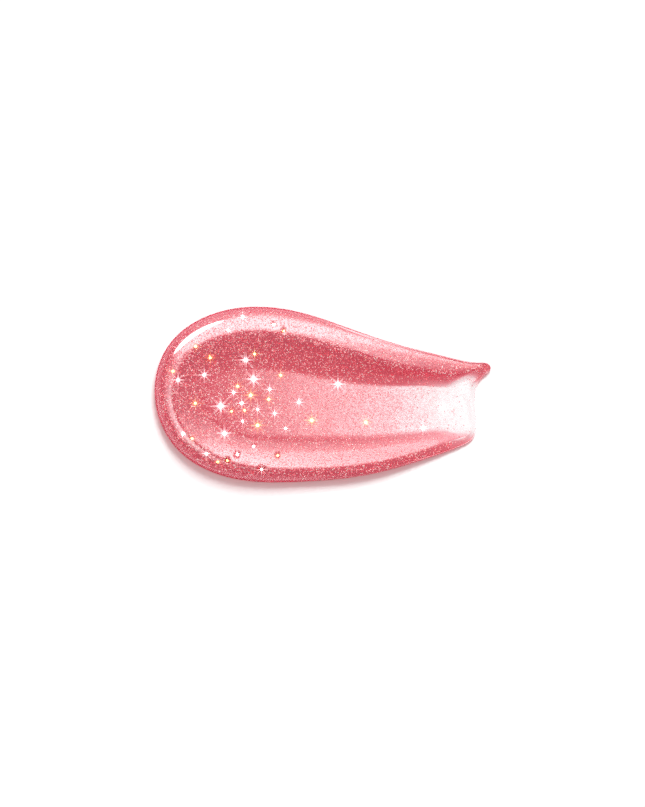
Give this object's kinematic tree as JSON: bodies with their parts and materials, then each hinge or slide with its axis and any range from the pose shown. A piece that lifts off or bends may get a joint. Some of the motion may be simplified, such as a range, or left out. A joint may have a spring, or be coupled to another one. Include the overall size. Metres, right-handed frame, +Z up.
{
  "type": "lip gloss smear",
  "caption": "Stroke of thick pink glitter lip gloss: a round pool drawn out into two ridges with a shallow channel that thins to a film.",
  "frame": {"origin": "centre of the footprint's bounding box, on the surface the gel lies on", "axes": "+X along the stroke, from the round pool to the thin film end; +Z up, away from the surface"},
  "size_m": [0.0337, 0.0175, 0.0027],
  "materials": {
    "tinted_gel": "wet, high gloss, translucent",
    "silver_glitter": "mirror",
    "gold_glitter": "mirror",
    "rose_pearl": "pearlescent"
  },
  "bodies": {
    "root": {"gloss_gel": "tinted_gel", "silver_glitter_large": "silver_glitter", "silver_glitter_medium": "silver_glitter", "silver_glitter_small": "silver_glitter", "gold_glitter_large": "gold_glitter", "gold_glitter_medium": "gold_glitter", "gold_glitter_small": "gold_glitter", "rose_pearl_platelets": "rose_pearl"}
  },
  "joints": []
}
